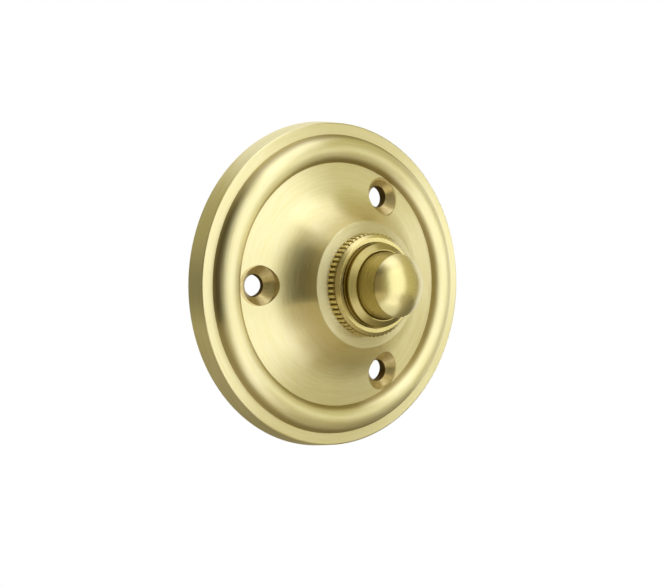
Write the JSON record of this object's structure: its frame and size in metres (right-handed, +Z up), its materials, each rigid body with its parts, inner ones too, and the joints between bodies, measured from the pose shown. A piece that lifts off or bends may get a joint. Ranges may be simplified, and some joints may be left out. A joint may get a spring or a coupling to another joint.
{
  "type": "bell push button",
  "caption": "Round satin brass bell push: a hollow turned rose with countersunk screw holes, a flared boss, a knurled ring and a sprung domed button that works a press switch.",
  "frame": {"origin": "centre of the rose's flat back, on the wall", "axes": "+Y points into the wall along the button's axis, the front faces -Y, +Z is up and +X is to the right seen from the front"},
  "size_m": [0.07, 0.0278, 0.07],
  "materials": {
    "satin_brass": "fine satin, brushed round the axis, lacquered",
    "turned_brass": "turned",
    "button_brass": "fine satin",
    "spring_steel": "drawn and oiled",
    "white_nylon": "moulded",
    "phosphor_bronze": "rolled and stamped",
    "brown_phenolic": "moulded",
    "contact_brass": "rolled and stamped",
    "contact_silver": "headed",
    "nickel_plate": "plated"
  },
  "bodies": {
    "housing": {"rose": "satin_brass", "knurled_ring": "satin_brass", "lock_washer": "spring_steel", "switch_barrel": "turned_brass", "return_spring": "spring_steel", "switch_base": "brown_phenolic", "base_clip": "spring_steel", "fixed_contact_left": "contact_brass", "fixed_contact_right": "contact_brass", "contact_tip_left": "contact_silver", "contact_tip_right": "contact_silver", "terminal_washer_left": "contact_brass", "terminal_washer_right": "contact_brass", "terminal_screw_left": "nickel_plate", "terminal_screw_right": "nickel_plate"},
    "plunger": {"push_button": "button_brass", "contact_carrier": "white_nylon", "contact_ring": "phosphor_bronze", "carrier_clip": "spring_steel"}
  },
  "joints": [
    {"name": "button_press", "type": "slide", "parent": "housing", "child": "plunger", "axis": [0, 1, 0], "range_m": [0, 0.002], "stiffness_N_per_m": 800, "springref_m": -0.003, "deforming": ["return_spring"]}
  ]
}
